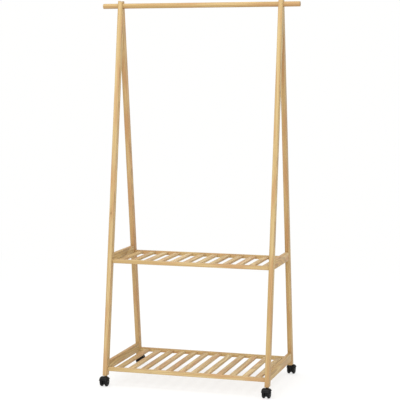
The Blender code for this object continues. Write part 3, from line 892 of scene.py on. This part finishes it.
def boss_bmesh():
    """The boss round the stem, with a collar at the top. Its lower part is as flat as the web."""
    foot = BOSS_RADIUS - BOSS_FOOT_STEP
    neck = BOSS_RADIUS - BOSS_COLLAR_STEP
    collar = BOSS_TOP - BOSS_COLLAR_HEIGHT
    widening = BOSS_BOTTOM + BOSS_FOOT_HEIGHT
    profile = [(foot, BOSS_BOTTOM), (foot, widening), (BOSS_RADIUS, widening + BOSS_FOOT_STEP)]
    profile += [(BOSS_RADIUS, collar), (neck, collar + BOSS_COLLAR_STEP)]
    profile += [(neck, BOSS_TOP - BOSS_TOP_ROUND), (neck - BOSS_TOP_ROUND, BOSS_TOP)]
    boss = turned_bmesh(profile, BOSS_SEGMENTS, closed=False)
    for vert in boss.verts:
        if vert.co.z < BOSS_BOTTOM + BOSS_FLAT_HEIGHT:
            vert.co.x = max(-WEB_THICKNESS / 2, min(WEB_THICKNESS / 2, vert.co.x))
    return boss


def socket_bmesh():
    """The bore for the stem's journal."""
    radius = JOURNAL_RADIUS + GAP
    ends = [(radius, JOURNAL_BOTTOM - SOCKET_EXTRA_DEPTH), (radius, BOSS_TOP + 0.01)]
    return turned_bmesh(ends, STEM_SEGMENTS, closed=False)


def place_object(obj, place, *where):
    """Moves a finished mesh with one of the place functions."""
    bm = bmesh.new()
    bm.from_mesh(obj.data)
    place(bm, *where)
    bm.to_mesh(obj.data)
    bm.free()


def make_housing(end_name, side_name, plastic):
    """Hood, web and boss in one moulding, bored for the axle and for the stem."""
    body = f"caster_{end_name}_{side_name}"
    node = f"{body}_housing"
    housing = mesh_object(f"{body}_hood", web_bmesh())
    combine(housing, [hood_bmesh(), boss_bmesh()], "UNION")
    bore = cylinder_x(AXLE_RADIUS + GAP, (0, *caster_axle()), -0.02, 0.02, SMALL_SEGMENTS)
    combine(housing, [bore, socket_bmesh()], "DIFFERENCE")
    place_object(housing, place_caster, end_name, side_name)
    dress(housing, plastic, box_centre(node), WORLD_AXES, NO_EDGES, body, node)


def core_profile():
    """Closed (radius, distance from the inner face) outline of a wheel's hard core, dished on the outside."""
    bore = AXLE_RADIUS + GAP
    dish = WHEEL_WIDTH - DISH_DEPTH
    relief = 0.0005           # of the inner face between hub and rim
    corner = 0.0006           # rounding of the rim and the hub towards the dish
    rim = DISH_RADIUS + corner
    points = [(bore, 0.0), (HUB_RADIUS, 0.0), (HUB_RADIUS + relief, relief), (CORE_RADIUS - 0.0016, relief)]
    points += [(CORE_RADIUS - 0.0011, 0.0), (CORE_RADIUS, 0.0)]
    points += [(CORE_RADIUS, WHEEL_WIDTH - 0.0014), (CORE_RADIUS - 0.0006, WHEEL_WIDTH - 0.0005)]
    points += [(CORE_RADIUS - 0.0014, WHEEL_WIDTH - 0.0001), (rim, WHEEL_WIDTH - 0.0001)]
    points += arc((rim, WHEEL_WIDTH - 0.0007), corner, math.pi / 2, math.pi, 3)[1:]
    points += [(DISH_RADIUS - 0.0004, dish + 0.0005), (DISH_RADIUS - 0.0009, dish)]
    points += [(HUB_RADIUS + 0.0010, dish), (HUB_RADIUS + 0.0005, dish + 0.0005)]
    points += [(HUB_RADIUS, WHEEL_WIDTH - 0.0007)]
    points += arc((HUB_RADIUS - corner, WHEEL_WIDTH - corner), corner, math.radians(15), math.pi / 2, 4)
    points += [(bore + 0.0004, WHEEL_WIDTH), (bore, WHEEL_WIDTH - 0.0004)]
    return points


def tyre_profile():
    """Closed (radius, distance from the inner face) outline of the tread band, with a shallow groove."""
    base_x = WEB_THICKNESS / 2 + WHEEL_CLEARANCE
    seat = CORE_RADIUS + TYRE_SEAT_GAP
    inner_centre = (WHEEL_RADIUS - WHEEL_INNER_ROUND, WHEEL_INNER_ROUND)
    points = [(seat, 0.0)]
    points += arc(inner_centre, WHEEL_INNER_ROUND, -math.pi / 2, 0.0, 8)
    groove = WHEEL_INNER_ROUND + 0.0009
    floor = WHEEL_RADIUS - 0.0003
    points += [(WHEEL_RADIUS, groove - 0.0005), (floor, groove - 0.0002)]
    points += [(floor, groove + 0.0002), (WHEEL_RADIUS, groove + 0.0005)]
    over = [(radius, x - base_x) for x, radius in shoulder(0.0, math.radians(86), 14)]
    over = [point for point in over if point[0] > seat]
    points += over + [(seat, over[-1][1] + 0.0001)]
    return points


def rib_bmesh(index):
    """One radial rib in the wheel's dish, from the hub to the rim."""
    dish = WHEEL_WIDTH - DISH_DEPTH
    low = (HUB_RADIUS - RIB_OVERLAP, -RIB_HALF_WIDTH, dish - 0.0004)
    high = (DISH_RADIUS + RIB_OVERLAP, RIB_HALF_WIDTH, dish + RIB_HEIGHT)
    bm = box_bmesh(low, high)
    round_edges(bm, RIB_ROUND)
    rotate(bm, 2 * math.pi * index / RIB_COUNT, "Z")
    return bm


def place_wheel(bm, end_name, side_name, wheel_side):
    """Moves a wheel shape, turned about Z with its outer face up, to its place on the axle."""
    move(bm, (0, 0, WEB_THICKNESS / 2 + WHEEL_CLEARANCE))
    rotate(bm, SIDES[wheel_side] * math.pi / 2, "Y")
    if ENDS[end_name] > 0:
        rotate(bm, math.pi, "Z")
    place = Vector(joint_position(f"caster_{end_name}_{side_name}_wheel_{wheel_side}_spin"))
    swivel = swivel_place(end_name, side_name)
    move(bm, (swivel.x, place.y, place.z))


def make_wheel(end_name, side_name, wheel_side, core_plastic, tread):
    """A hard core with ribs in its dish, and a tread band round it."""
    node = f"caster_{end_name}_{side_name}_wheel_{wheel_side}"
    where = (end_name, side_name, wheel_side)
    origin = box_centre(node)
    core = mesh_object(f"{node}_core", turned_bmesh(core_profile(), CORE_SEGMENTS, closed=True))
    combine(core, [rib_bmesh(i) for i in range(RIB_COUNT)], "UNION")
    place_object(core, place_wheel, *where)
    dress(core, core_plastic, origin, WORLD_AXES, NO_EDGES, node, node)
    tyre_bm = turned_bmesh(tyre_profile(), TYRE_SEGMENTS, closed=True)
    place_wheel(tyre_bm, *where)
    tyre = mesh_object(f"{node}_tyre", tyre_bm)
    dress(tyre, tread, origin, WORLD_AXES, NO_EDGES, node, None)


def make_axle(end_name, side_name, steel):
    body = f"caster_{end_name}_{side_name}"
    node = f"{body}_axle"
    low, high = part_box(node)
    half = (high[0] - low[0]) / 2
    edge = 0.0003
    cap = CAP_RADIUS["axle"]
    profile = [(cap, -half), (AXLE_RADIUS - edge, -half), (AXLE_RADIUS, -half + edge)]
    profile += [(AXLE_RADIUS, half - edge), (AXLE_RADIUS - edge, half), (cap, half)]
    bm = turned_bmesh(profile, SMALL_SEGMENTS, closed=False)
    rotate(bm, math.pi / 2, "Y")
    centre = box_centre(node)
    move(bm, centre)
    axle = mesh_object(f"{node}_pin", bm)
    dress(axle, steel, centre, WORLD_AXES, NO_EDGES, body, node)


def stem_profile(bottom, foot, top, flange):
    """A stem's (radius, height) outline: journal, flange under the leg's foot, grooved shank in the leg."""
    shank = flange * STEM_SHANK_RATIO
    waist = shank - STEM_GROOVE_DEPTH
    edge = 0.0004
    cap = CAP_RADIUS["stem"]
    under = foot - STEM_FLANGE_THICKNESS
    profile = [(cap, bottom), (JOURNAL_RADIUS - edge, bottom), (JOURNAL_RADIUS, bottom + edge)]
    profile += [(JOURNAL_RADIUS, under), (flange - edge, under), (flange, under + edge)]
    profile += [(flange, foot - edge), (flange - edge, foot), (shank, foot), (shank, top - 0.0090)]
    profile += [(waist, top - 0.0085), (waist, top - 0.0065), (shank, top - 0.0060)]
    profile += [(shank, top - 0.0010), (shank - 0.0010, top), (cap, top)]
    return profile


def make_stem(end_name, side_name, steel):
    node = f"caster_{end_name}_{side_name}_stem"
    low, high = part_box(node)
    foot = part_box(f"leg_{end_name}_{side_name}")[0][2] - GAP
    profile = stem_profile(low[2], foot, high[2], (high[0] - low[0]) / 2)
    bm = turned_bmesh(profile, STEM_SEGMENTS, closed=False)
    swivel = swivel_place(end_name, side_name)
    move(bm, (swivel.x, swivel.y, 0))
    stem = mesh_object(f"{node}_steel", bm)
    dress(stem, steel, box_centre(node), (Z_AXIS, X_AXIS, Y_AXIS), NO_EDGES, ROOT, node)


# ---- studio ----
FLOOR_RADIUS = 40.0
FLOOR_DROP = 0.0002           # below the wheels, so that no surfaces coincide
FLOOR_FADE = (0.7, 4.0)       # where the floor starts and ends melting into the backdrop
FLOOR_COLOR = (0.93, 0.93, 0.93)
FLOOR_GRAIN_COLOR = (0.86, 0.86, 0.86)
FLOOR_GLOW = 0.70
BACKDROP = (1.0, 1.0, 0.995)


def floor_material():
    """Pale matte floor that melts into the backdrop far from the rack."""
    g = Graph("studio_floor")
    place = g.add("ShaderNodeTexCoord").outputs["Object"]
    far = g.map_range(g.vector_math("LENGTH", place), *FLOOR_FADE, FLOOR_GLOW, 1.0)
    grain = g.noise(place, 220.0, 2.0, 0.5)
    color = g.mix(g.map_range(grain, 0.3, 0.7, 0.0, 0.03), FLOOR_COLOR, FLOOR_GRAIN_COLOR)
    glow = g.add("ShaderNodeEmission")
    glow.inputs["Color"].default_value = (*BACKDROP, 1.0)
    blend = g.add("ShaderNodeMixShader")
    output = g.tree.nodes["Material Output"]
    g.feed(blend.inputs[0], far)
    g.tree.links.new(g.shader.outputs[0], blend.inputs[1])
    g.tree.links.new(glow.outputs[0], blend.inputs[2])
    g.tree.links.new(blend.outputs[0], output.inputs["Surface"])
    return g.finish(Base_Color=color, Roughness=0.75)


def make_floor():
    bm = bmesh.new()
    bmesh.ops.create_circle(bm, cap_ends=True, segments=96, radius=FLOOR_RADIUS)
    floor = mesh_object("studio_floor", bm, floor_material())
    floor.location.z = -FLOOR_DROP


def area_light(name, place, target, size, power, color=(1, 1, 1)):
    data = bpy.data.lights.new(name, "AREA")
    data.shape = "RECTANGLE"
    data.size, data.size_y = size
    data.energy = power
    data.color = color
    light = bpy.data.objects.new(name, data)
    light.location = place
    light.rotation_euler = (Vector(target) - Vector(place)).to_track_quat("-Z", "Y").to_euler()
    bpy.context.scene.collection.objects.link(light)


def make_lights():
    area_light(
        "key", place=(0.7, -4.0, 2.6), target=(0, 0, 0.8), size=(2.4, 2.4), power=85, color=(1.0, 0.99, 0.975)
    )
    area_light("top", place=(-0.6, -0.8, 4.6), target=(0, 0, 0), size=(2.6, 2.0), power=50)
    world = bpy.data.worlds.new("studio")
    world.use_nodes = True
    background = world.node_tree.nodes["Background"]
    background.inputs["Color"].default_value = (*BACKDROP, 1.0)
    background.inputs["Strength"].default_value = 1.0
    bpy.context.scene.world = world
    bpy.context.scene.view_settings.view_transform = "Standard"


CAMERA_AZIMUTH = math.radians(16.88)
CAMERA_PITCH = math.radians(4.853)
CAMERA_DISTANCE = 5.702
CAMERA_TARGET = Vector((0.0008, 0, 0.8920))
CAMERA_LENS = 119.15          # millimetres
CAMERA_SENSOR = 36            # millimetres
CAMERA_SHIFT = -0.06


def make_camera():
    """A long lens from the front right, a little above the lower half of the rack."""
    data = bpy.data.cameras.new("camera")
    data.lens = CAMERA_LENS
    data.sensor_width = CAMERA_SENSOR
    data.shift_y = CAMERA_SHIFT
    data.clip_end = 100
    back = Vector((
        math.sin(CAMERA_AZIMUTH) * math.cos(CAMERA_PITCH),
        -math.cos(CAMERA_AZIMUTH) * math.cos(CAMERA_PITCH),
        math.sin(CAMERA_PITCH),
    ))
    camera = bpy.data.objects.new("camera", data)
    camera.location = CAMERA_TARGET + back * CAMERA_DISTANCE
    camera.rotation_euler = back.to_track_quat("Z", "Y").to_euler()
    bpy.context.scene.collection.objects.link(camera)
    bpy.context.scene.camera = camera


make_camera()
make_lights()
make_floor()
wood = pine()
hood_plastic = moulded_plastic("hood_plastic", *HOOD_LOOK)
core_plastic = moulded_plastic("wheel_core_plastic", *CORE_LOOK)
tread = moulded_plastic("wheel_tread", *TREAD_LOOK)
steel = zinc_steel()
make_rod(wood)
for side_name in SIDES:
    make_rod_screw(side_name, steel)
    for end_name in ENDS:
        make_leg(end_name, side_name, wood)
        make_stem(end_name, side_name, steel)
        make_housing(end_name, side_name, hood_plastic)
        make_axle(end_name, side_name, steel)
        for wheel_side in SIDES:
            make_wheel(end_name, side_name, wheel_side, core_plastic, tread)
for shelf in SHELVES:
    for end_name in ENDS:
        make_rail(shelf, end_name, wood)
        for side_name in SIDES:
            make_plug(shelf, end_name, side_name, wood)
    for side_name in SIDES:
        make_side_board(shelf, side_name, wood)
    for index in range(SLATS_PER_SHELF):
        make_slat(f"{shelf}_slat_{index + 1:02d}", wood)
